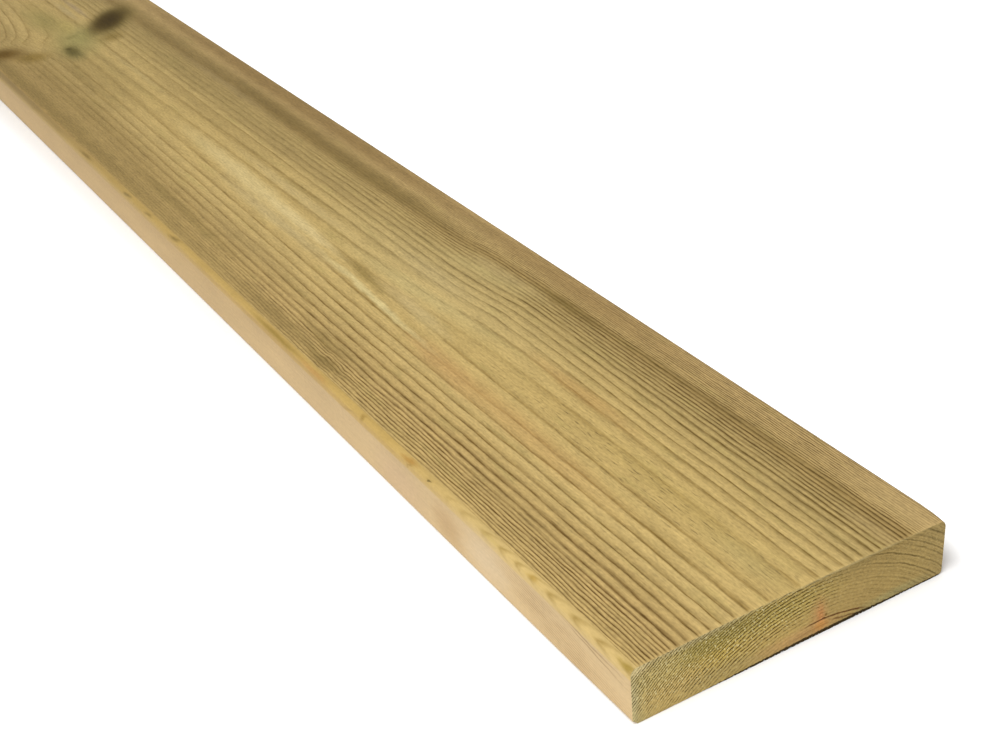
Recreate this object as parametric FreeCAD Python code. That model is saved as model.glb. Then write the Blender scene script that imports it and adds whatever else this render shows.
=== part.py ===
import FreeCAD
import Part
import os

# A planed softwood decking board, lying flat with its crowned face up.
# Millimetres. X runs along the board, Y across it, Z up from the floor.
# The origin is on the floor, under the middle of the board.

# Driving dimensions of the planed section
board_width = 145.0
board_thickness = 26.0  # at the middle, from the floor to the top of the crown
crown_rise = 1.0  # the middle of the top face above its two long edges
hollow_depth = 1.2  # the middle of the underside above the floor
bearing_width = 14.5  # each flat strip beside the hollow, out to the board's side
top_arris_radius = 3.0
bottom_arris_radius = 2.0

# Driving dimensions of the cut length
board_length = 2400.0
end_ease = 0.4  # radius round the rim of each sawn end

half_width = board_width / 2
shoulder_height = board_thickness - crown_rise
hollow_half_width = half_width - bearing_width

# Two points of the model closer than this are the same place
same_place = 0.001


def section_face(x):
    """The section before its arrises are rounded: flat sides, a crowned top and a hollow underside."""

    def at(y, z):
        return FreeCAD.Vector(x, y, z)

    outline = Part.Wire([
        Part.LineSegment(at(-half_width, 0), at(-hollow_half_width, 0)).toShape(),
        Part.Arc(at(-hollow_half_width, 0), at(0, hollow_depth), at(hollow_half_width, 0)).toShape(),
        Part.LineSegment(at(hollow_half_width, 0), at(half_width, 0)).toShape(),
        Part.LineSegment(at(half_width, 0), at(half_width, shoulder_height)).toShape(),
        Part.Arc(
            at(half_width, shoulder_height),
            at(0, board_thickness),
            at(-half_width, shoulder_height),
        ).toShape(),
        Part.LineSegment(at(-half_width, shoulder_height), at(-half_width, 0)).toShape(),
    ])
    return Part.Face(outline)


def long_corners(solid, height):
    """The two edges that run the length of the board where its sides reach the given height."""
    found = []
    for edge in solid.Edges:
        box = edge.BoundBox
        at_side = abs(abs(box.Center.y) - half_width) < same_place
        at_height = abs(box.Center.z - height) < same_place
        if at_side and at_height and box.YLength < same_place and box.ZLength < same_place:
            found.append(edge)
    return found


def end_rims(solid):
    """The edges round both sawn ends."""
    found = []
    for edge in solid.Edges:
        box = edge.BoundBox
        if box.XLength < same_place and abs(abs(box.Center.x) - board_length / 2) < same_place:
            found.append(edge)
    return found


def decking_board():
    """One solid: the planed section over the whole length, its arrises rounded, its ends eased."""
    board = section_face(-board_length / 2).extrude(FreeCAD.Vector(board_length, 0, 0))
    board = board.makeFillet(top_arris_radius, long_corners(board, shoulder_height))
    board = board.makeFillet(bottom_arris_radius, long_corners(board, 0))
    return board.makeFillet(end_ease, end_rims(board))


os.makedirs("parts", exist_ok=True)
board = decking_board()
board.exportStep("parts/decking_board.step")

box = board.BoundBox
print("solids", len(board.Solids), "valid", board.isValid(), "litres", round(board.Volume / 1e6, 3))
print("box", [round(v, 3) for v in (box.XMin, box.XMax, box.YMin, box.YMax, box.ZMin, box.ZMax)])
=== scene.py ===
import math
import random

import bpy
from mathutils import Matrix, Vector


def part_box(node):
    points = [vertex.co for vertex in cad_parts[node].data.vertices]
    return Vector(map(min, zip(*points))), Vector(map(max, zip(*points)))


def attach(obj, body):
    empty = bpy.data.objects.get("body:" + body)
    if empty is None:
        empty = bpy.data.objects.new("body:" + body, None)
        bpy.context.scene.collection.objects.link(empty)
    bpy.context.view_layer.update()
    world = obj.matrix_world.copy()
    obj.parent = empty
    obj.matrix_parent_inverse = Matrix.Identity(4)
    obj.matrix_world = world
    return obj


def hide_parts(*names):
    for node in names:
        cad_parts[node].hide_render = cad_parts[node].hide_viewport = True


# A planed, pressure-treated pine decking board, lying on a pale studio floor.
# Metres in the mesh, with X along the board, Y across it and Z up.
# The grain is laid out in millimetres: u from the near sawn end, y across, z up.

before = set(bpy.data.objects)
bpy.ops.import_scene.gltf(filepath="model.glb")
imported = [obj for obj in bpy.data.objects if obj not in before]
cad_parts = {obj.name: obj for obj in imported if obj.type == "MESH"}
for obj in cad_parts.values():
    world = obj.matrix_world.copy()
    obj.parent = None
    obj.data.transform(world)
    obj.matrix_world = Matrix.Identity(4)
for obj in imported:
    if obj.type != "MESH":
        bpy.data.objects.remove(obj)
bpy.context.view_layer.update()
MM = 0.001

# Sizes of the board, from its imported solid
board_low, board_high = (Vector(corner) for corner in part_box("decking_board"))
half_length = board_high.x
half_width = board_high.y
thickness = board_high.z
length_mm = 2 * half_length / MM
half_width_mm = half_width / MM

# The planed section, in metres
crown_rise = 1.0 * MM
hollow_depth = 1.2 * MM
bearing_width = 14.5 * MM
top_arris_radius = 3.0 * MM
bottom_arris_radius = 2.0 * MM
end_ease = 0.4 * MM
hollow_half_width = half_width - bearing_width

# How finely the mesh follows the section
columns_across = 24
arris_segments = 8
torn_from, torn_to = -54 * MM, 69 * MM
torn_pitch = 0.55 * MM
worn_cuts = (4 * MM, 8 * MM, 14 * MM, 30 * MM, 60 * MM, 90 * MM)  # distances from the near end
lower_wear = 1.0 * MM
upright_wear = 1.4 * MM

# The camera stands at the near end, a little to the visible side of the board
camera_place = Vector((1.55422, -0.30132, 0.39261))
camera_aim = Vector((1.00509, -0.00742, 0.02600))
camera_roll = math.radians(5.263)
camera_lens_mm = 58.45


def deselect_all():
    """Leaves nothing selected, because loading the frame leaves its nodes selected."""
    bpy.ops.object.select_all(action="DESELECT")


def colour(hex_code):
    """An sRGB hex colour as the linear values that shaders take."""
    channels = [int(hex_code[i:i + 2], 16) / 255 for i in (1, 3, 5)]
    return [c / 12.92 if c <= 0.04045 else ((c + 0.055) / 1.055) ** 2.4 for c in channels] + [1.0]


def wood(hex_code):
    """A wood tone as it looks in the photograph, less the brightness that the studio light adds."""
    return [channel * share for channel, share in zip(colour(hex_code), (0.75, 0.74, 0.74, 1.0))]


def add(tree, kind, *values, points=None, **settings):
    """Adds a node. Values fill its inputs in order, settings go by name, points shape its curve or ramp."""
    node = tree.nodes.new("ShaderNode" + kind)
    fills = list(enumerate(values))
    for key, value in settings.items():
        if hasattr(node, key):
            setattr(node, key, value)
        else:
            fills.append((key.replace("_", " "), value))
    for key, value in fills:
        if isinstance(value, bpy.types.Node):
            value = next(output for output in value.outputs if output.enabled)
        if isinstance(value, bpy.types.NodeSocket):
            tree.links.new(value, node.inputs[key])
        elif value is not None:
            node.inputs[key].default_value = value
    if kind == "FloatCurve":
        curve = node.mapping.curves[0]
        for place, height in points[2:]:
            curve.points.new(place, height)
        for point, (place, height) in zip(curve.points, points):
            point.location = (place, height)
            point.handle_type = "VECTOR"
        node.mapping.update()
    if kind == "ValToRGB":
        stops = node.color_ramp.elements
        for place, _ in points[2:]:
            stops.new(place)
        for stop, (place, hex_code) in zip(stops, points):
            stop.position = place
            stop.color = wood(hex_code)
    return node


def new_material(name):
    """An empty node material with its surface shader and output joined."""
    material = bpy.data.materials.new(name)
    material.use_nodes = True
    tree = material.node_tree
    tree.nodes.clear()
    shader = add(tree, "BsdfPrincipled")
    add(tree, "OutputMaterial", shader)
    return material, tree, shader


def section_top(y):
    """Height of the crowned top face at y."""
    radius = (half_width ** 2 + crown_rise ** 2) / (2 * crown_rise)
    return thickness - radius + math.sqrt(radius ** 2 - y ** 2)


def section_bottom(y):
    """Height of the hollow underside at y."""
    if abs(y) >= hollow_half_width:
        return 0.0
    radius = (hollow_half_width ** 2 + hollow_depth ** 2) / (2 * hollow_depth)
    return hollow_depth - radius + math.sqrt(radius ** 2 - y ** 2)


def select_edges(mesh, wanted):
    """Selects, from object mode, the edges whose two ends pass the test."""
    for part in (mesh.vertices, mesh.edges, mesh.polygons):
        for item in part:
            item.select = False
    for edge in mesh.edges:
        a, b = (mesh.vertices[i].co for i in edge.vertices)
        edge.select = wanted(a, b)


def on_end(point):
    return abs(abs(point.x) - half_length) < 0.01 * MM


def make_board():
    """The board: a block cut into columns, crowned and hollowed, its long corners and end rims rounded."""
    deselect_all()
    centre = (board_low + board_high) / 2
    bpy.ops.mesh.primitive_cube_add(size=1, location=centre, scale=board_high - board_low)
    board = bpy.context.active_object
    board.name = "planed_decking_board"
    bpy.ops.object.transform_apply(location=True, rotation=True, scale=True)
    mesh = board.data

    bpy.ops.object.mode_set(mode="EDIT")
    cuts = [-half_width + half_width * 2 * i / columns_across for i in range(1, columns_across)]
    cuts += [-hollow_half_width, hollow_half_width]
    for y in cuts:
        bpy.ops.mesh.select_all(action="SELECT")
        bpy.ops.mesh.bisect(plane_co=(0, y, 0), plane_no=(0, 1, 0))
    bpy.ops.object.mode_set(mode="OBJECT")

    for vertex in mesh.vertices:
        y = vertex.co.y
        vertex.co.z = section_top(y) if vertex.co.z > thickness / 2 else section_bottom(y)

    def long_corner(low, high):
        def wanted(a, b):
            beside = abs(abs(a.y) - half_width) < 0.01 * MM and abs(a.y - b.y) < 0.01 * MM
            return beside and abs(a.x - b.x) > MM and low <= a.z <= high
        return wanted

    for wanted, radius in (
        (long_corner(thickness / 2, thickness), top_arris_radius),
        (long_corner(0, thickness / 2), bottom_arris_radius),
    ):
        select_edges(mesh, wanted)
        bpy.ops.object.mode_set(mode="EDIT")
        bpy.ops.mesh.select_mode(type="EDGE")
        bpy.ops.mesh.bevel(offset=radius, segments=arris_segments, profile=0.5, affect="EDGES")
        bpy.ops.object.mode_set(mode="OBJECT")

    select_edges(mesh, lambda a, b: on_end(a) and on_end(b) and on_rim(a, b))
    bpy.ops.object.mode_set(mode="EDIT")
    bpy.ops.mesh.bevel(offset=end_ease, segments=2, profile=0.5, affect="EDGES")
    for cut in worn_cuts + (half_length,):
        bpy.ops.mesh.select_all(action="SELECT")
        bpy.ops.mesh.bisect(plane_co=(half_length - cut, 0, 0), plane_no=(1, 0, 0))
    bpy.ops.object.mode_set(mode="OBJECT")
    wear_corners(mesh)
    return board


def wear_corners(mesh):
    """Rubs two corners of the near end back a little: the lower one in front and the upright one behind."""
    for vertex in mesh.vertices:
        from_end = half_length - vertex.co.x
        low = max(0.0, 1 - vertex.co.z / thickness)
        if vertex.co.y < -half_width + bottom_arris_radius:
            vertex.co.z += lower_wear * max(0.0, 1 - from_end / worn_cuts[-1]) ** 2 * low ** 6
        if vertex.co.y > half_width - 2 * top_arris_radius:
            vertex.co.y -= upright_wear * max(0.0, 1 - from_end / worn_cuts[2]) ** 2 * (0.8 + 0.5 * low)
        vertex.co = [min(max(value, least), most) for value, least, most in zip(vertex.co, board_low, board_high)]


def make_torn_fibres_in_painted_shadow():
    """The fibres that the saw tore out of the lower rim of the near end: a thin ragged fringe in the hollow, hung down
    nearly to the floor so that, darkened by the sawn end's painted shadow, it stands in for the shadowed gap under the
    end.
    """
    deselect_all()
    top, back = 1.9 * MM, 0.6 * MM
    centre = Vector((half_length - back / 2, (torn_from + torn_to) / 2, top / 2))
    bpy.ops.mesh.primitive_cube_add(size=1, location=centre, scale=(back, torn_to - torn_from, top))
    fringe = bpy.context.active_object
    bpy.ops.object.transform_apply(location=True, rotation=True, scale=True)
    bpy.ops.object.mode_set(mode="EDIT")
    count = int((torn_to - torn_from) / torn_pitch)
    for i in range(1, count):
        bpy.ops.mesh.select_all(action="SELECT")
        bpy.ops.mesh.bisect(plane_co=(0, torn_from + i * torn_pitch, 0), plane_no=(0, 1, 0))
    bpy.ops.object.mode_set(mode="OBJECT")
    chance = random.Random(7)
    hang = [chance.uniform(0.0, 0.2) if chance.random() < 0.7 else chance.uniform(0.2, 0.7) for _ in range(count + 1)]
    for vertex in fringe.data.vertices:
        i = min(count, round((vertex.co.y - torn_from) / torn_pitch))
        if vertex.co.z < top / 2:
            ends = min(1.0, (vertex.co.y - torn_from) / (18 * MM))
            vertex.co.z = section_bottom(vertex.co.y) * (1 - ends) + hang[i] * MM * ends
            vertex.co.x -= chance.uniform(0.0, 0.1) * MM
        if vertex.co.x > half_length - back / 2:
            vertex.co.x = half_length - chance.uniform(0.02, 0.06) * MM
    return fringe


def lay_out_for_baking(mesh, board_faces):
    """Lays every face out flat, free of overlaps, on a second map for baking the wood into, in 1024ths of its width."""
    layer = mesh.uv_layers.new(name="OFBake")
    for face in mesh.polygons:
        near = face.center.x > 0
        for i in face.loop_indices:
            x, y, z = mesh.vertices[mesh.loops[i].vertex_index].co / MM
            inwards = half_width_mm - abs(y)
            if face.index >= board_faces:
                spot = (1008 + (0 if face.normal.x > 0.5 else 7) + 2.5 * z, 4 + 7 * (y + half_width_mm))
            elif abs(face.normal.x) > 0.5:
                spot = (916 + 3.3 * z, (4 if near else 516) + 3.45 * (y + half_width_mm))
            elif face.normal.z < -0.7:
                spot = (780 + 0.9 * (y + half_width_mm), 4 + 0.423 * (x + length_mm / 2))
            else:
                around = z + (inwards if z > thickness / MM / 2 else -inwards)
                around = 2 * half_width_mm + 2 * thickness / MM - around if y > 0 else around
                spot = ((4 if near else 392) + 1.9 * (around + 2), 4 + 0.846 * (length_mm / 2 - abs(x)))
            layer.data[i].uv = (spot[0] / 1024, spot[1] / 1024)


def on_rim(a, b):
    """An edge of an end face that is not one of the upright cuts inside it."""
    upright = abs(a.y - b.y) < 0.01 * MM and abs(a.z - b.z) > half_width / 8
    return not upright or abs(abs(a.y) - half_width) < 0.01 * MM


def grain_place(tree):
    """The place on the board in millimetres: u from the near end, y across and z up, and all three joined."""
    axes = add(tree, "SeparateXYZ", add(tree, "TexCoord").outputs["Object"])
    u = add(tree, "Math", axes.outputs["X"], -1000.0, length_mm / 2, operation="MULTIPLY_ADD")
    y = add(tree, "Math", axes.outputs["Y"], 1000.0, operation="MULTIPLY")
    z = add(tree, "Math", axes.outputs["Z"], 1000.0, operation="MULTIPLY")
    return u, y, z, add(tree, "CombineXYZ", u, y, z)


def mottle(tree, place, long, wide, seed, detail=2.0):
    """Soft noise from -1 to 1, its patches this long and this wide in millimetres."""
    spread = add(tree, "VectorMath", place, (1 / long, 1 / wide, 1 / wide), operation="MULTIPLY")
    noise = add(tree, "TexNoise", spread, noise_dimensions="4D", W=seed, Scale=1.0, Detail=detail)
    return add(tree, "Math", noise, 2.0, -1.0, operation="MULTIPLY_ADD")


def patch(tree, place, u, y, long, wide, turn, soft=0.9):
    """A mask of 1 inside an oval of these half sizes in millimetres, fading to 0 at its rim."""
    oval = add(tree, "Mapping", place, (u, y, 0), (0, 0, math.radians(turn)), (long, wide, 1e6), vector_type="TEXTURE")
    reach = add(tree, "VectorMath", oval, operation="LENGTH")
    return add(tree, "MapRange", reach.outputs["Value"], 1.0, 1.0 - soft, 0.0, 1.0, interpolation_type="SMOOTHSTEP")


def along(tree, value, low, high, reach, points):
    """A curve drawn through listed points: points are (place, height), places from low to high, heights from -reach to
    reach.
    """
    share = add(tree, "MapRange", value, low, high, 0.0, 1.0)
    drawn = [((place - low) / (high - low), 0.5 + height / reach / 2) for place, height in points]
    curve = add(tree, "FloatCurve", 1.0, share, points=drawn)
    return add(tree, "Math", curve, 2.0 * reach, -reach, operation="MULTIPLY_ADD")


def plus(tree, total, *more):
    """Adds up values, each either a value or a pair to be multiplied."""
    for item in more:
        if isinstance(item, tuple):
            total = add(tree, "Math", item[0], item[1], total, operation="MULTIPLY_ADD")
        else:
            total = add(tree, "Math", total, item, operation="ADD")
    return total


def tint(tree, tone, place, patches):
    """Lays soft patches of colour over a tone: place, half sizes, turn, colour, strength and softness of each."""
    for u, y, long, wide, turn, hex_code, strength, soft in patches:
        mask = patch(tree, place, u, y, long, wide, turn, soft)
        tone = add(tree, "MixRGB", add(tree, "Math", mask, strength, operation="MULTIPLY"), tone, wood(hex_code))
    return tone


# Late wood lines of the top face at the near end: place across the board, and how many lines in from the heart
top_lines_left = [(-72.5, 20), (-65.3, 15), (-61.9, 13), (-58.9, 11), (-55.6, 9), (-52.7, 8), (-48.8, 7)]
top_lines_left += [(-43.9, 6), (-38.9, 5), (-33.6, 4), (-28.1, 3), (-21.9, 2), (-13.2, 1), (-9.8, 0.62)]
top_lines_right = [(-2.8, 0.62), (1.9, 1), (10.5, 2), (16.4, 3), (21.8, 4), (26.8, 5), (31.6, 6), (36, 7)]
top_lines_right += [(39.3, 8), (42, 9), (44.3, 10), (48.4, 12), (54.7, 15), (57.1, 17), (69.8, 28)]
top_lines_right += [(72.5, 30.4)]

# How the lines wander along the board: distance from the near end, and shift across it
wander_left = [(0, 0), (108, -0.3), (216, -1.5), (269, -1.8), (323, -1.6), (486, -0.2), (648, 0.4)]
wander_left += [(1000, 0.6)]
wander_heart = [(0, 0), (162, 0.7), (204, 0.8), (228, -0.4), (258, -2.4), (285, -4.4), (312, -5.9)]
wander_heart += [(350, -7.1), (506, -8.1), (690, -8.9), (1000, -8.6)]
wander_right = [(0, 0), (108, 0.6), (215, 2.3), (242, 2.4), (261, 0.5), (282, -1.5), (306, -2.3)]
wander_right += [(484, -2.7), (688, -3), (1000, -2.7)]
wander_edge = [(0, 0), (262, 0.3), (295, -0.4), (321, -3), (345, -4.4), (483, -5.6), (687, -6.1)]
wander_edge += [(1000, -5.2)]
wander_knots = [(0, 0), (746, 0), (770, 0.5), (785, 2.5), (796, 7), (804, 11.5), (810, 14.8), (816, 15.3)]
wander_knots += [(823, 13), (830, 9.5), (838, 6.8), (851, 4.2), (874, 1), (898, -1.2), (925, -3)]
wander_knots += [(1000, -3.4)]

# The ring that closes to a point on the face: distance from the near end, and rings added at the heart
heart_closes = [(0, 0), (216, 0.12), (302, 0.26), (360, 0.39), (485, 0.5), (571, 0.62), (647, 0.85)]
heart_closes += [(755, 1), (1000, 1.2)]

# How strongly the late wood lines show across the near end, and how that fades along the board
line_strength = [(-72.5, 0.5), (-68.5, 0.65), (-65, 0.92), (-54, 0.95), (-46, 1), (-30, 0.95), (-20, 0.85), (-14, 0.8), (-6, 0.4), (3, 0.6), (12, 0.85)]
line_strength += [(24, 0.95), (54, 1), (57, 0.85), (72.5, 0.8)]
narrow_rings = [(-72.5, 1), (-54, 1), (-46, 0.45), (-34, 0.1), (24, 0.1), (34, 0.55), (41, 1), (72.5, 1)]
border_fades = [(0, 1), (93, 1), (248, 0.85), (393, 0.5), (560, 0.2), (1000, 0.2), (1400, 0.55)]
border_fades += [(2400, 0.55)]
middle_fades = [(0, 1), (155, 0.95), (187, 0.8), (290, 0.95), (380, 0.78), (470, 0.65), (645, 0.55), (2400, 0.65)]

# Patches of colour on the planed faces: place, half sizes, turn, colour, strength and softness
face_patches = (
    (162, -22.6, 118, 10, 1, "#c59f62", 0.5, 0.9),
    (221, -23.5, 54, 9, 2, "#bf9a60", 0.6, 0.9),
    (162, 13.2, 64, 6, 0, "#bb9355", 0.5, 0.9),
    (73, 0.2, 93, 9, 0, "#b29a5a", 0.4, 0.9),
    (26, -3.8, 31, 8, 0, "#a99a63", 0.35, 0.9),
    (300, -18.4, 88, 3.0, 2.2, "#dccb90", 0.75, 0.9),
    (262, -9, 36, 6, 2, "#cbb57a", 0.6, 0.9),
    (290, 2.4, 90, 7, -4, "#d4c182", 0.5, 0.9),
    (232, 2, 50, 6, 0, "#c6ac6a", 0.5, 0.9),
    (300, 14, 170, 30, 0, "#c4b27c", 0.3, 0.9),
    (322, -10.5, 44, 5, 3, "#9a844a", 0.75, 0.9),
    (256, -64.6, 29, 5, -3, "#7b6635", 0.6, 0.9),
    (273, -57, 37, 4, 2, "#836e3b", 0.55, 0.9),
    (313, -63.6, 73, 7, 0, "#8d7745", 0.5, 0.9),
    (270, -54, 60, 5, 0, "#98824c", 0.4, 0.9),
    (286, 38.5, 56, 9, -6, "#c6b276", 0.6, 0.9),
    (300, 17, 50, 9, 0, "#c6b17c", 0.4, 0.9),
    (416, -18.4, 114, 6, 0, "#cdb983", 0.6, 0.9),
    (474, -9, 150, 9, 1, "#dcc68a", 0.8, 0.85),
    (400, -10, 70, 4.5, 1, "#dfca90", 0.6, 0.8),
    (446, 4.5, 114, 5, 0, "#cdb77f", 0.5, 0.9),
    (469, -54.4, 156, 7, 0, "#8f7945", 0.7, 0.9),
    (124, 53.2, 156, 4, 0, "#7b6634", 0.35, 0.9),
    (232, 51.9, 42, 6, 0, "#77622f", 0.6, 0.9),
    (400, -43, 75, 9, 0, "#a8905c", 0.4, 0.9),
    (480, 26.5, 190, 8, 0, "#9d8653", 0.45, 0.9),
    (10, 45, 26, 5, 0, "#b9a069", 0.5, 0.9),
    (8, 64, 60, 11, 0, "#c9ad74", 0.6, 0.9),
    (280, 45, 48, 6, -3, "#bca670", 0.55, 0.9),
    (100, -55, 60, 7, 0, "#a48c55", 0.4, 0.9),
    (280, -7, 50, 7, 0, "#cdb67e", 0.6, 0.9),
    (400, -43, 140, 10, 0, "#a38c57", 0.3, 0.9),
    (414, 49.5, 130, 10, -1, "#836e3c", 0.7, 0.9),
    (560, 50, 200, 12, 0, "#816b3b", 0.8, 0.9),
    (760, 49, 260, 13, 0, "#867141", 0.6, 0.9),
    (640, 43, 110, 5, 0, "#a6905f", 0.6, 0.9),
    (579, 66.1, 430, 11, 0, "#8e7343", 0.75, 0.8),
    (230, 64, 130, 10, 0, "#987b4b", 0.5, 0.9),
    (669, -65, 519, 12, 0, "#8a7442", 0.75, 0.9),
    (740, -70.5, 600, 2.6, 0, "#ad9058", 0.8, 0.6),
    (692, -47.3, 311, 22, 0, "#8f7945", 0.55, 0.9),
    (719, -28.2, 135, 10, 0, "#8f7944", 0.55, 0.9),
    (719, -16.2, 135, 9, 0, "#a38c54", 0.6, 0.8),
    (718, -5.2, 114, 6, 0, "#a38e58", 0.5, 0.9),
    (610, 14, 190, 7, 0, "#9b844e", 0.45, 0.9),
    (667, 30.6, 239, 14, 0, "#9f8953", 0.45, 0.9),
    (706, 4.8, 90, 3, 0, "#c9b174", 0.7, 0.9),
)

# The knots, with the stains round them
knot_patches = (
    (864, -11, 62.4, 18, 0, "#a59658", 0.75, 0.9),
    (802, -5, 58, 27, 15, "#a59b5e", 0.8, 0.9),
    (807, -0.1, 26, 12, 30, "#ab9f60", 0.8, 0.9),
    (839, -2.1, 31.2, 8, 8, "#bfab66", 0.85, 0.9),
    (811, -7.1, 5.2, 9, -20, "#94874c", 0.5, 0.9),
    (790, 17, 19, 13, 32, "#8f7839", 0.75, 0.95),
    (788, -43.2, 20.8, 17, -40, "#8f7534", 0.8, 0.9),
    (810, -56.3, 25, 19, -25, "#7c612a", 0.95, 0.9),
    (812, -58.3, 13.5, 10, -20, "#6d521c", 0.8, 0.9),
    (776, -17, 31, 11.5, 4, "#827642", 0.9, 0.9),
    (779, -16.8, 18, 7, 6, "#6b6030", 0.85, 0.9),
    (786, -17.1, 4.7, 3.2, 0, "#5a4d22", 0.7, 0.9),
    (828, 28.6, 56, 23, 32.5, "#83723b", 0.85, 0.8),
    (830, 28.6, 43, 19, 32.5, "#604e1e", 0.95, 0.75),
    (831, 28.4, 34, 14.5, 32.5, "#48370d", 0.9, 0.9),
    (877, 9.9, 43.7, 4.4, 0, "#c0aa76", 0.8, 0.9),
    (880, 17.9, 43.7, 3.8, 0, "#b8a178", 0.75, 0.9),
    (1492, -33, 24, 11, -25, "#8c7a48", 0.8, 0.9),
    (1492, -33, 16, 7, -25, "#5a4417", 0.9, 0.7),
    (1985, 31, 17, 9, 20, "#8c7a48", 0.8, 0.9),
    (1985, 31, 10, 5, 20, "#5c4719", 0.9, 0.7),
)


def top_ring_count(tree, place, u, y):
    """Counts the growth rings cut by a planed face, outwards from the heart, and gives the place across at the end."""
    far = add(tree, "Math", u, 1000.0, operation="MINIMUM")
    ripple = mottle(tree, place, 70, 9, 3.0)
    tremble = mottle(tree, place, 12, 2.0, 5.0, 3.0)
    waver = mottle(tree, place, 30, 5, 7.0, 1.0)
    curl = patch(tree, place, 257, -60.6, 37, 15, 0)
    curled = add(tree, "Math", curl, mottle(tree, place, 14, 7, 6.0, 1.0), operation="MULTIPLY")
    y = plus(tree, y, (ripple, 0.8), (tremble, 0.55), (waver, 0.6), (curled, 2.0))
    left = add(tree, "MapRange", y, -20.0, -15.0, 1.0, 0.0, interpolation_type="SMOOTHSTEP")
    heart = add(tree, "MapRange", y, -13.0, -4.0, 0.0, 1.0, interpolation_type="SMOOTHSTEP")
    right = add(tree, "MapRange", y, 3.0, 17.0, 0.0, 1.0, interpolation_type="SMOOTHSTEP")
    edge = add(tree, "MapRange", y, 37.0, 46.0, 0.0, 1.0, interpolation_type="SMOOTHSTEP")
    knots = add(tree, "MapRange", y, -18.0, -3.0, 1.0, 0.0, interpolation_type="SMOOTHSTEP")
    behind = plus(tree, far, (add(tree, "Math", plus(tree, y, 30.0), 12.0, operation="MINIMUM"), 0.9))
    heart = add(tree, "Math", heart, right, operation="SUBTRACT")
    right = add(tree, "Math", right, edge, operation="SUBTRACT")
    across = y
    for weight, points in ((left, wander_left), (heart, wander_heart), (right, wander_right), (edge, wander_edge)):
        shift = add(tree, "Math", along(tree, far, 0, 1000, 20, points), -1.0, operation="MULTIPLY")
        across = plus(tree, across, (weight, shift))
    across = plus(tree, across, (knots, along(tree, behind, 0, 1000, 20, wander_knots)))
    drawn = [(spot / 145 + 0.5, count / 32) for spot, count in top_lines_left + top_lines_right]
    share = add(tree, "MapRange", across, -72.5, 72.5, 0.0, 1.0)
    count = add(tree, "Math", add(tree, "FloatCurve", 1.0, share, points=drawn), 32.0, operation="MULTIPLY")
    near = add(tree, "Math", across, 8.0, operation="ADD")
    near = add(tree, "Math", near, near, operation="MULTIPLY")
    near = add(tree, "Math", add(tree, "Math", near, -1 / 400, operation="MULTIPLY"), operation="EXPONENT")
    return plus(tree, count, (near, along(tree, far, 0, 1000, 2, heart_closes))), across


def mix_floats(tree, weight, a, b):
    """Goes from a to b as the weight goes from 0 to 1."""
    return plus(tree, a, (weight, add(tree, "Math", b, a, operation="SUBTRACT")))


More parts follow.
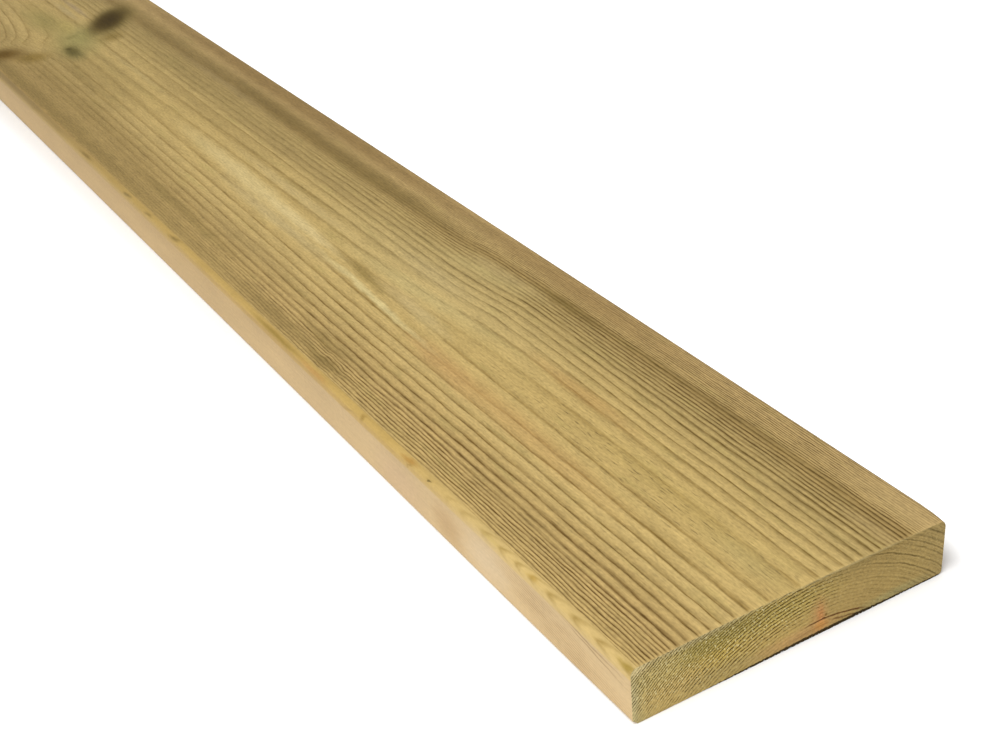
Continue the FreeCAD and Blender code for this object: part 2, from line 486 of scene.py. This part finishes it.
def make_face_wood():
    """The planed faces: light early wood darkening to thin late wood lines, green-tinged by the preservative."""
    material, tree, shader = new_material("planed_treated_pine")
    u, y, z, place = grain_place(tree)
    under = add(tree, "Math", z, thickness / MM / 2, operation="LESS_THAN")
    u = plus(tree, u, (under, 1130.0))
    y = add(tree, "Math", y, plus(tree, 1.0, (under, -2.0)), operation="MULTIPLY")
    place = add(tree, "CombineXYZ", u, y)
    count, across = top_ring_count(tree, place, u, y)

    share = add(tree, "Math", count, operation="FRACT")
    wide = add(tree, "FloatCurve", 1.0, share, points=[
        (0, 0.8), (0.05, 0.2), (0.11, 0), (0.4, 0.08), (0.7, 0.28), (0.87, 0.55), (0.95, 1), (1, 0.95),
    ])
    narrow = add(tree, "FloatCurve", 1.0, share, points=[(0, 0.85), (0.2, 0.15), (0.45, 0), (0.75, 0.5), (0.9, 1), (1, 1)])
    rings = mix_floats(tree, along(tree, across, -72.5, 72.5, 1, narrow_rings), wide, narrow)
    border = along(tree, y, -72.5, 72.5, 1, [(-72.5, 1), (-54, 1), (-44, 0), (30, 0), (42, 1), (72.5, 1)])
    fades = mix_floats(tree, border, along(tree, u, 0, 2400, 1, middle_fades), along(tree, u, 0, 2400, 1, border_fades))
    strength = add(tree, "Math", along(tree, across, -72.5, 72.5, 1, line_strength), fades, operation="MULTIPLY")
    dashes = mottle(tree, place, 11, 1.1, 9.0, 2.0)
    broken = plus(tree, 0.95, (mottle(tree, place, 45, 2.5, 8.0, 3.0), 0.7), (dashes, 0.8))
    strength = add(tree, "Math", strength, broken, operation="MULTIPLY")
    for spot in ((797, -37, 31, 24, 0), (808, -5, 47, 18, 10), (831, 29, 50, 16, 32.5)):
        calm = add(tree, "Math", patch(tree, place, *spot), -0.9, operation="MULTIPLY")
        strength = add(tree, "Math", strength, plus(tree, 1.0, calm), operation="MULTIPLY")
    sawn_edge = add(tree, "MapRange", u, 0.3, 1.6, 0.45, 1.0, interpolation_type="SMOOTHSTEP")
    strength = add(tree, "Math", strength, sawn_edge, operation="MULTIPLY")
    dark = add(tree, "Math", rings, strength, operation="MULTIPLY", use_clamp=True)

    zone = add(tree, "MapRange", across, -72.5, 72.5, 0.0, 1.0)
    light_tone = add(tree, "ValToRGB", zone, points=[
        (0.03, "#c6aa6c"), (0.12, "#c7aa6d"), (0.18, "#c4a86b"), (0.27, "#cdb273"), (0.48, "#c9ae6d"),
        (0.62, "#ccb171"), (0.74, "#bfa66a"), (0.81, "#b79e64"), (0.86, "#ac9159"), (0.89, "#c2a66b"), (1, "#cbad74"),
    ])
    dark_tone = add(tree, "ValToRGB", zone, points=[
        (0.03, "#5d4314"), (0.12, "#664a1c"), (0.18, "#6f5524"), (0.27, "#826831"), (0.48, "#8d7237"),
        (0.62, "#816932"), (0.74, "#705a28"), (0.83, "#634b1e"), (0.86, "#5c4517"), (0.89, "#563d12"), (1, "#523910"),
    ])
    green = add(tree, "MapRange", mottle(tree, place, 40, 6, 16.0, 2.0), 0.1, 0.6, 0.0, 0.35)
    light_tone = add(tree, "MixRGB", green, light_tone, wood("#aba05c"))
    tone = add(tree, "MixRGB", dark, light_tone, dark_tone)
    ragged = add(tree, "TexNoise", add(tree, "VectorMath", place, (0.07, 0.14, 1), operation="MULTIPLY"), Scale=1.0)
    ragged = add(tree, "VectorMath", ragged.outputs["Color"], (-0.5, -0.5, -0.5), operation="ADD")
    ragged = add(tree, "VectorMath", ragged, (18, 4, 0), operation="MULTIPLY")
    spread = add(tree, "VectorMath", place, ragged, operation="ADD")
    tone = tint(tree, tint(tree, tone, spread, face_patches), place, knot_patches)

    fibres = mottle(tree, place, 11, 0.8, 11.0, 3.0)
    speckle = mottle(tree, place, 2.4, 1.0, 12.0, 2.0)
    clouds = mottle(tree, place, 60, 12, 13.0, 3.0)
    blots = mottle(tree, place, 20, 4, 15.0, 2.0)
    flecks = add(tree, "MapRange", mottle(tree, place, 9, 0.7, 14.0, 1.0), 0.2, 0.34, 0.0, 1.0)
    heart = patch(tree, place, 93, -3, 155, 20, 0)
    flecks = add(tree, "Math", flecks, plus(tree, 0.2, (heart, 0.8)), operation="MULTIPLY")
    value = plus(tree, 1.02, (fibres, 0.36), (speckle, 0.34), (clouds, 0.12), (blots, 0.14), (flecks, -0.5))
    value = add(tree, "CombineXYZ", value, value, value)
    tone = add(tree, "MixRGB", 1.0, tone, value, blend_type="MULTIPLY")
    tree.links.new(tone.outputs[0], shader.inputs["Base Color"])
    shader.inputs["Roughness"].default_value = 0.7
    shader.inputs["Specular IOR Level"].default_value = 0.1
    height = plus(tree, 0.0, (dark, -0.5), (fibres, 0.5), (speckle, 0.4))
    bump = add(tree, "Bump", Strength=0.4, Distance=0.0003, Height=height)
    tree.links.new(bump.outputs[0], shader.inputs["Normal"])
    return material


# The rings that the rounded edge cuts: where along the board each loop bulges, and how far it leans back by height
loop_places = [(-60, -4), (5, 0), (21, 1), (37, 2), (54, 3), (66, 4), (76, 5), (88, 6), (100, 7), (119, 8)]
loop_places += [(130, 9), (147, 10), (160, 11), (187, 12), (209, 13), (251, 14), (312, 15), (437, 18)]
loop_places += [(646, 22), (2400, 60)]
loop_lean = [(0, -160), (14.35, -92), (17.35, -64), (19.05, -32), (20.45, -13), (21.4, -6), (22.4, -2.6)]
loop_lean += [(23.4, -0.8), (24.55, 0), (25.9, -1.8), (26.9, -4.5), (28, -9), (29.2, -18)]
loop_lean += [(30, -30)]
loop_depth = [(0, 0.1), (20.85, 0.15), (22.35, 0.35), (23.75, 0.85), (24.95, 1), (25.95, 0.9)]
loop_depth += [(27.15, 0.45), (28.55, 0.2), (30, 0.2)]
# How bright the planed edge and its rounded strip are along the board: darker away from the near end, partly wood tone
# and partly painted falloff of the light
side_level_and_painted_falloff = [(0, 0.92), (104, 0.91), (223, 0.85), (390, 0.82), (571, 0.82), (2400, 0.84)]
strip_level_and_painted_falloff = [(0, 0.93), (104, 0.9), (151, 0.84), (223, 0.8), (390, 0.77), (571, 0.71), (2400, 0.72)]

# Patches of colour on the planed edge: place along it and height, then as on the faces
edge_patches = (
    (130, 9.9, 18.7, 13, 0, "#c8a673", 0.75, 0.9),
    (99, 10.9, 27, 16, 0, "#e2cba4", 0.6, 0.9),
    (172, 8.9, 31.1, 14, 0, "#d8b88e", 0.6, 0.9),
    (24, 17.3, 29, 0.7, 6.4, "#9a7c4a", 0.7, 0.9),
    (26, 19.3, 29, 0.65, 4.4, "#9a7c48", 0.7, 0.9),
    (760, 26, 260, 6, 0, "#a58b5a", 0.75, 0.9),
    (296, 25.2, 44, 3, 0, "#a98b3e", 0.85, 0.9),
    (255, 24.6, 22.8, 3.4, 0, "#cfa059", 0.75, 0.9),
    (204, 24.8, 3, 4.4, 30, "#ac8c42", 0.8, 0.9),
    (218, 21.9, 11, 1.1, -14, "#ae9050", 0.6, 0.9),
    (161, 22.6, 7, 0.9, -30, "#ac8c42", 0.6, 0.9),
    (161, 25.5, 9, 3.4, -12, "#b8893a", 0.7, 0.9),
    (300, 21.9, 260, 2.2, 0, "#c09a56", 0.5, 0.9),
    (145, 24.5, 2.2, 1.2, -30, "#6f5c26", 0.9, 0.8),
    (433, 25.6, 13, 2.8, -8, "#9b8144", 0.85, 0.9),
    (475, 25.3, 9, 2.2, -8, "#9b8144", 0.75, 0.9),
    (508, 25.3, 10, 2.2, -8, "#978048", 0.75, 0.9),
    (583, 25.4, 16.6, 2.4, 0, "#957938", 0.65, 0.9),
    (3.7, 25.1, 7, 3.6, 0, "#a98f3c", 0.75, 0.9),
    (64, 25.2, 6, 3, 0, "#bb983f", 0.5, 0.9),
    (95, 24.3, 10, 2.6, 0, "#cbb168", 0.5, 0.9),
)


def make_edge_wood():
    """The planed edge: smooth pinkish tan, with loops of honey-coloured rings where the rounded corner cuts them."""
    material, tree, shader = new_material("planed_pine_edge")
    u, y, z, place = grain_place(tree)
    hidden = add(tree, "Math", y, 0.0, operation="GREATER_THAN")
    u = plus(tree, u, (hidden, 940.0))
    inwards = add(tree, "Math", half_width_mm, add(tree, "Math", y, operation="ABSOLUTE"), operation="SUBTRACT")
    z = plus(tree, z, (inwards, 1.17))
    place = add(tree, "CombineXYZ", u, z)
    ripple = mottle(tree, place, 24, 5, 21.0, 3.0)
    sway = mottle(tree, place, 9, 1.8, 22.0, 1.0)
    travel = plus(tree, u, (along(tree, z, 0, 30, 160, loop_lean), -1.0), (ripple, 3.0), (sway, 1.4))
    share = add(tree, "MapRange", travel, -60.0, 2400.0, 0.0, 1.0)
    drawn = [((spot + 60) / 2460, (count + 4) / 64) for spot, count in loop_places]
    count = add(tree, "Math", add(tree, "FloatCurve", 1.0, share, points=drawn), 64.0, operation="MULTIPLY")
    share = add(tree, "Math", count, operation="FRACT")
    loops = add(tree, "FloatCurve", 1.0, share, points=[(0, 0.7), (0.2, 0.1), (0.35, 0), (0.6, 0), (0.85, 0.65), (0.94, 0.85), (1, 0.8)])
    near = along(tree, u, 0, 2400, 1, [(0, 0.9), (104, 0.65), (124, 0.3), (166, 0.15), (800, 0.2), (2400, 0.3)])
    loops = add(tree, "Math", loops, near, operation="MULTIPLY")
    depth = add(tree, "Math", along(tree, z, 0, 30, 1, loop_depth), plus(tree, 1.0, (ripple, 0.5)), operation="MULTIPLY")
    loops = add(tree, "Math", loops, depth, operation="MULTIPLY", use_clamp=True)
    low = add(tree, "MapRange", z, 17.8, 20.8, 1.0, 0.0, interpolation_type="SMOOTHSTEP")
    low = add(tree, "Math", low, add(tree, "MapRange", z, 10.0, 16.0, 0.0, 1.0), operation="MULTIPLY")
    first = add(tree, "MapRange", u, 20.0, 50.0, 1.0, 0.0, interpolation_type="SMOOTHSTEP")
    strip = add(tree, "MapRange", plus(tree, z, (ripple, 0.5)), 19.7, 20.9, 0.0, 1.0, interpolation_type="SMOOTHSTEP")
    seen = plus(tree, strip, (add(tree, "Math", low, first, operation="MULTIPLY"), 0.9))
    loops = add(tree, "Math", loops, seen, operation="MULTIPLY", use_clamp=True)

    slope = plus(tree, z, (u, -0.145), (sway, 0.1))
    fine = add(tree, "Math", add(tree, "Math", slope, 4.7, operation="MULTIPLY"), operation="SINE")
    fine = add(tree, "Math", plus(tree, 0.5, (fine, 0.5)), patch(tree, place, 48, 10, 64, 11, 8, 0.7), operation="MULTIPLY")
    fine = add(tree, "Math", fine, plus(tree, 0.55, (mottle(tree, place, 14, 4, 26.0), 0.7)), operation="MULTIPLY")
    side_tone = add(tree, "MixRGB", fine, wood("#dcbf8d"), wood("#ab8b57"))
    distant = add(tree, "MapRange", u, 110.0, 420.0, 0.0, 1.0)
    upwards = add(tree, "Math", distant, plus(tree, 0.35, (z, 0.03)), operation="MULTIPLY", use_clamp=True)
    side_tone = add(tree, "MixRGB", upwards, side_tone, wood("#d8b67b"))
    strip_base = add(tree, "MixRGB", add(tree, "MapRange", u, 110.0, 180.0, 0.0, 1.0), wood("#d6b976"), wood("#d5b366"))
    strip_tone = add(tree, "MixRGB", loops, strip_base, wood("#94782f"))
    tone = add(tree, "MixRGB", add(tree, "Math", strip, loops, operation="MAXIMUM"), side_tone, strip_tone)
    # Brightness along the board, partly painted falloff of the light; the side is also a little brighter towards its
    # foot
    levels = along(tree, u, 0, 2400, 1, side_level_and_painted_falloff), along(tree, u, 0, 2400, 1, strip_level_and_painted_falloff)
    level = mix_floats(tree, strip, plus(tree, levels[0], 0.08, (z, -0.008)), levels[1])
    ragged = add(tree, "TexNoise", add(tree, "VectorMath", place, (0.1, 0.3, 1), operation="MULTIPLY"), Scale=1.0)
    ragged = add(tree, "VectorMath", ragged.outputs["Color"], (-0.5, -0.5, -0.5), operation="ADD")
    ragged = add(tree, "VectorMath", ragged, (12, 2, 0), operation="MULTIPLY")
    tone = tint(tree, tone, add(tree, "VectorMath", place, ragged, operation="ADD"), edge_patches)
    fibres = mottle(tree, place, 26, 0.8, 23.0, 3.0)
    clouds = mottle(tree, place, 45, 14, 24.0, 3.0)
    speckle = mottle(tree, place, 2.4, 1.2, 25.0, 2.0)
    value = plus(tree, level, (fibres, 0.11), (clouds, 0.1), (speckle, 0.12))
    value = add(tree, "CombineXYZ", value, value, value)
    tone = add(tree, "MixRGB", 1.0, tone, value, blend_type="MULTIPLY")
    tree.links.new(tone.outputs[0], shader.inputs["Base Color"])
    shader.inputs["Roughness"].default_value = 0.6
    shader.inputs["Specular IOR Level"].default_value = 0.2
    height = plus(tree, 0.0, (fibres, 0.4), (speckle, 0.2), (loops, 0.3))
    bump = add(tree, "Bump", Strength=0.25, Distance=0.0002, Height=height)
    tree.links.new(bump.outputs[0], shader.inputs["Normal"])
    return material


# Growth rings in the sawn end: distance from the pith, and how many rings out
end_rings = [(55, 0), (85, 19), (90, 23), (95, 27.5), (100, 32.2), (112, 42.8), (130, 58)]

# The arcs that stand out on its right half: distance from the pith, and strength
end_arcs = [(73, 0.5), (77.2, 0.4), (78.7, 0.7), (81, 0.5), (83, 0.45), (84.6, 0.85), (86.6, 0.4), (88.5, 1)]
end_arcs += [(90.6, 0.5), (92.4, 0.8), (94.4, 0.85), (97, 0.7), (100, 0.9)]

# Patches of colour on the sawn end: place across and height, then as on the faces
end_patches = (
    (-44.9, 20.1, 34, 12, 10, "#b5a650", 0.5, 0.9),
    (-10.1, 19.2, 40, 10, 0, "#b5a44e", 0.4, 0.9),
    (-36.2, 12.2, 20, 9, 0, "#c0a44c", 0.5, 0.9),
    (-55.3, 8.2, 26, 12, 0, "#ccb06c", 0.75, 0.9),
    (-35.5, 4.4, 26, 7, 0, "#b09b62", 0.7, 0.9),
    (-72.6, 12.1, 5, 20, 0, "#bcaf80", 0.85, 0.9),
    (-69, 25, 9, 6, 0, "#e2cf9a", 0.95, 0.9),
    (-60, 20, 18, 10, 0, "#ccb674", 0.75, 0.9),
    (-30, 21.5, 30, 8, 4, "#948546", 0.5, 0.9),
    (-46, 25.5, 34, 4, 0, "#b3a67e", 0.6, 0.9),
    (27, 25, 28, 4.5, 0, "#99844f", 0.65, 0.9),
    (-19, 3, 16, 5, 0, "#a8935c", 0.6, 0.9),
    (48.7, 10.5, 28, 16, 0, "#ae965a", 0.5, 0.9),
    (46.4, 2.2, 26, 3.5, 0, "#a19a68", 0.6, 0.9),
    (1.2, 3.5, 30, 5, 0, "#c29a64", 0.7, 0.9),
    (10.3, 8.4, 6, 13, 0, "#bd8c58", 0.6, 0.9),
    (11.1, 8.4, 2.6, 8, 4, "#c4834c", 0.6, 0.9),
    (11.1, 4, 6, 3, 0, "#d09850", 0.7, 0.9),
    (13.5, 7.7, 0.9, 1, 0, "#6b4a1c", 0.8, 0.7),
)

# How much paler its upper rim is across the board
rim_strength = [(-72.5, 0.9), (-67, 0.6), (-58, 0.3), (-10, 0.3), (20, 0.35), (72.5, 0.4)]

# Painted light on the sawn end: how bright it is from its foot to its top, brighter towards its foot
end_painted_light = [(0, 1.24), (4, 1.24), (9, 1.17), (15, 1.12), (20, 1.02), (24, 0.95), (26, 0.96)]


def make_end_wood():
    """The sawn ends: curved growth rings, torn rough by the saw on one half and smoother on the other."""
    material, tree, shader = new_material("sawn_pine_end_grain")
    u, y, z, place = grain_place(tree)
    far = add(tree, "Math", u, length_mm / 2, operation="GREATER_THAN")
    y = add(tree, "Math", y, plus(tree, 1.0, (far, -2.0)), operation="MULTIPLY")
    place = add(tree, "CombineXYZ", y, z, u)
    ripple = mottle(tree, place, 9, 5, 31.0)
    tremble = mottle(tree, place, 2.2, 1.6, 32.0)
    rise = plus(tree, z, 59.65, (ripple, 0.8), (tremble, 0.4))
    reach = add(tree, "Math", y, 1.01, -9.5, operation="MULTIPLY_ADD")
    left = add(tree, "Math", reach, 0.0, operation="LESS_THAN")
    reach = add(tree, "Math", reach, plus(tree, 1.0, (left, -0.06)), operation="MULTIPLY")
    radius = add(tree, "VectorMath", add(tree, "CombineXYZ", reach, rise), operation="LENGTH").outputs["Value"]
    drawn = [((spot - 55) / 75, count / 80) for spot, count in end_rings]
    count = add(tree, "FloatCurve", 1.0, add(tree, "MapRange", radius, 55.0, 130.0, 0.0, 1.0), points=drawn)
    part = add(tree, "Math", add(tree, "Math", count, 80.0, operation="MULTIPLY"), operation="FRACT")
    rings = add(tree, "FloatCurve", 1.0, part, points=[(0, 0.85), (0.15, 0.1), (0.5, 0), (0.72, 0.4), (0.88, 1), (1, 1)])

    rough_left = patch(tree, place, -38, 21, 64, 23, 5, 0.7)
    middle = patch(tree, place, 4, 18, 34, 14, 0, 0.9)
    right = add(tree, "MapRange", y, 22.0, 44.0, 0.0, 1.0, interpolation_type="SMOOTHSTEP")
    grain = add(tree, "CombineXYZ", plus(tree, y, (radius, 0.45)), radius, u)
    streaks = mottle(tree, grain, 3.0, 0.8, 33.0, 2.0)
    bits = mottle(tree, grain, 1.5, 0.8, 38.0, 1.0)
    strength = plus(tree, 0.2, (rough_left, 1.5), (middle, 0.3), (right, 0.05))
    strength = add(tree, "Math", strength, plus(tree, 0.85, (streaks, 1.8), (bits, 1.7)), operation="MULTIPLY", use_clamp=True)
    dark = add(tree, "Math", rings, strength, operation="MULTIPLY")
    drawn = [(0, 0)]
    for spot, strong in end_arcs:
        drawn += [((spot + side - 60) / 70, height) for side, height in ((-0.5, 0), (0, strong), (0.5, 0))]
    drawn.append((1, 0))
    arcs = add(tree, "FloatCurve", 1.0, add(tree, "MapRange", radius, 60.0, 130.0, 0.0, 1.0), points=drawn)
    arcs = add(tree, "Math", arcs, right, operation="MULTIPLY")
    arcs = add(tree, "Math", arcs, plus(tree, 0.75, (mottle(tree, place, 10, 4, 34.0), 0.9)), operation="MULTIPLY")
    dark = add(tree, "Math", dark, arcs, operation="MAXIMUM", use_clamp=True)

    base = add(tree, "ValToRGB", add(tree, "MapRange", y, -72.0, 72.0, 0.0, 1.0), points=[
        (0.0, "#b8aa74"), (0.06, "#bba567"), (0.25, "#bfa660"), (0.45, "#bca15e"), (0.6, "#ae9559"), (0.78, "#a78e55"), (1.0, "#ab945d"),
    ])
    tone = tint(tree, base, place, end_patches)
    tone = add(tree, "MixRGB", dark, tone, wood("#44340b"))
    for out, low, high, strong in ((66.0, 2, 33, 0.95), (64.0, 17, 29, 0.7), (63.4, -4, 16, 0.35)):
        band = add(tree, "Math", add(tree, "Math", radius, out, operation="SUBTRACT"), operation="ABSOLUTE")
        band = add(tree, "MapRange", band, 0.12, 0.55, strong, 0.0)
        ends = patch(tree, place, (low + high) / 2, 4, (high - low) / 2 + 2, 8, 0, 0.4)
        tone = add(tree, "MixRGB", add(tree, "Math", band, ends, operation="MULTIPLY"), tone, wood("#5a3514"))
    specks = add(tree, "MapRange", mottle(tree, grain, 1.0, 0.75, 35.0, 1.0), 0.13, 0.38, 0.0, 1.0)
    specks = add(tree, "Math", specks, plus(tree, 0.1, (rough_left, 0.62), (middle, 0.1)), operation="MULTIPLY", use_clamp=True)
    tone = add(tree, "MixRGB", specks, tone, wood("#ede0a6"))
    fuzz = mottle(tree, place, 1.3, 1.0, 36.0, 3.0)
    clouds = mottle(tree, place, 12, 6, 37.0, 3.0)
    # The painted light from foot to top, with fuzz, clouds and streaks on it
    value = plus(tree, along(tree, z, 0, 26, 2, end_painted_light), (fuzz, 0.45), (clouds, 0.14), (streaks, 0.2))
    value = add(tree, "CombineXYZ", value, value, value)
    tone = add(tree, "MixRGB", 1.0, tone, value, blend_type="MULTIPLY")
    rim = add(tree, "MapRange", plus(tree, z, (tremble, 0.3)), thickness / MM - 1.3, thickness / MM - 0.5, 0.0, 1.0)
    rim = add(tree, "Math", rim, along(tree, y, -72.5, 72.5, 1, rim_strength), operation="MULTIPLY")
    corner = add(tree, "Math", patch(tree, place, -72.5, 25.5, 9, 5, 0), 0.95, operation="MULTIPLY")
    tone = add(tree, "MixRGB", add(tree, "Math", rim, corner, operation="MAXIMUM"), tone, wood("#d2c08a"))
    # Painted shadow: the foot of the near end and its torn fibres are darkened where the gap under the hollow lies in
    # shade, up to about 1.6 mm high near the middle and less towards the sides
    painted_gap_shadow = along(tree, y, -72.5, 72.5, 2, [(-72.5, 0), (-50, 0), (-20, 0.9), (0, 1.6), (30, 1.6), (40, 1.0), (70, 0.6), (72.5, 0)])
    painted_gap_shadow = add(tree, "Math", plus(tree, painted_gap_shadow, (tremble, 0.6), (bits, 0.4)), z, operation="SUBTRACT")
    painted_gap_shadow = add(tree, "MapRange", painted_gap_shadow, -0.15, 0.1, 0.0, 0.95)
    painted_gap_shadow = add(tree, "Math", painted_gap_shadow, add(tree, "Math", far, 0.5, operation="LESS_THAN"), operation="MULTIPLY")
    tone = add(tree, "MixRGB", painted_gap_shadow, tone, wood("#33260c"))
    tree.links.new(tone.outputs[0], shader.inputs["Base Color"])
    shader.inputs["Roughness"].default_value = 0.85
    shader.inputs["Specular IOR Level"].default_value = 0.1
    height = plus(tree, 0.0, (fuzz, 0.6), (streaks, 0.6), (dark, -0.8))
    bump = add(tree, "Bump", Strength=0.6, Distance=0.0005, Height=height)
    tree.links.new(bump.outputs[0], shader.inputs["Normal"])
    return material


def make_floor():
    """A wide pale floor of matt card, which shows the board's soft shadow close to it, and further out glows with
    painted light that brightens it to white.
    """
    deselect_all()
    bpy.ops.mesh.primitive_plane_add(size=30, location=(0, 0, 0))
    floor = bpy.context.active_object
    floor.name = "studio_floor"
    material, tree, shader = new_material("matt_white_card_with_painted_glow")
    shader.inputs["Base Color"].default_value = colour("#f2f2f2")
    shader.inputs["Roughness"].default_value = 0.9
    shader.inputs["Specular IOR Level"].default_value = 0.1
    axes = add(tree, "SeparateXYZ", add(tree, "TexCoord").outputs["Object"])
    beside = add(tree, "Math", add(tree, "Math", axes.outputs["Y"], operation="ABSOLUTE"), half_width, operation="SUBTRACT")
    before = add(tree, "Math", add(tree, "Math", axes.outputs["X"], operation="ABSOLUTE"), half_length, operation="SUBTRACT")
    away = add(tree, "Math", beside, before, operation="MAXIMUM")
    # Painted light: the floor glows, rising from nothing 2 mm outside the board's footprint to full 30 mm out, which
    # lifts it to white and washes out shadow away from the board
    painted_floor_glow = add(tree, "MapRange", away, 0.002, 0.03, 0.0, 0.4, interpolation_type="SMOOTHSTEP")
    tree.links.new(painted_floor_glow.outputs[0], shader.inputs["Emission Strength"])
    shader.inputs["Emission Color"].default_value = colour("#ffffff")
    floor.data.materials.append(material)
    return floor


def add_area_light(name, place, aim, size, power, tint):
    """A soft box at a place, turned towards the point it lights."""
    lamp = bpy.data.lights.new(name, "AREA")
    lamp.shape = "SQUARE"
    lamp.size = size
    lamp.energy = power
    lamp.color = colour(tint)[:3]
    holder = bpy.data.objects.new(name, lamp)
    holder.location = place
    holder.rotation_euler = (aim - place).to_track_quat("-Z", "Y").to_euler()
    bpy.context.collection.objects.link(holder)


def light_studio():
    """An even white surround and one large soft box over the visible side."""
    world = bpy.data.worlds.new("white_surround")
    world.use_nodes = True
    world.node_tree.nodes["Background"].inputs["Color"].default_value = colour("#ffffff")
    world.node_tree.nodes["Background"].inputs["Strength"].default_value = 0.6
    bpy.context.scene.world = world
    near_end = Vector((half_length, 0, 0))
    add_area_light("key_soft_box", near_end + Vector((0.3, -0.9, 1.5)), near_end, 1.0, 30, "#ffffff")
    view = bpy.context.scene.view_settings
    view.view_transform = "Standard"
    view.look = "None"


def place_camera():
    """The photograph's viewpoint: aimed along the board, then rolled a little about the line of sight."""
    lens = bpy.data.cameras.new("viewpoint")
    lens.lens = camera_lens_mm
    lens.sensor_width = 36
    lens.clip_start = 0.01
    lens.clip_end = 100
    camera = bpy.data.objects.new("viewpoint", lens)
    look = (camera_aim - camera_place).to_track_quat("-Z", "Y").to_matrix().to_4x4()
    camera.matrix_world = Matrix.Translation(camera_place) @ look @ Matrix.Rotation(-camera_roll, 4, "Z")
    bpy.context.collection.objects.link(camera)
    bpy.context.scene.camera = camera


board = make_board()
board_faces = len(board.data.polygons)
fringe = make_torn_fibres_in_painted_shadow()
deselect_all()
fringe.select_set(True)
board.select_set(True)
bpy.context.view_layer.objects.active = board
bpy.ops.object.join()
lay_out_for_baking(board.data, board_faces)
for material in (make_face_wood(), make_edge_wood(), make_end_wood()):
    board.data.materials.append(material)
for face in board.data.polygons:
    side = half_width - abs(face.center.y) < top_arris_radius and face.center.z > 0.4 * MM
    hidden_top = face.center.y > 0 and face.center.z > thickness - crown_rise - top_arris_radius
    # Faces at the foot of the near end, the torn fibres among them, take the sawn end's wood and so its painted shadow
    torn = face.center.x > half_length - MM and face.center.z < 2 * MM
    face.material_index = 2 if torn or abs(face.normal.x) > 0.5 else int(side and not hidden_top)
deselect_all()
board.select_set(True)
bpy.context.view_layer.objects.active = board
bpy.ops.object.shade_smooth_by_angle(angle=math.radians(30))
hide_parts("decking_board")
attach(board, "root")

make_floor()
light_studio()
place_camera()
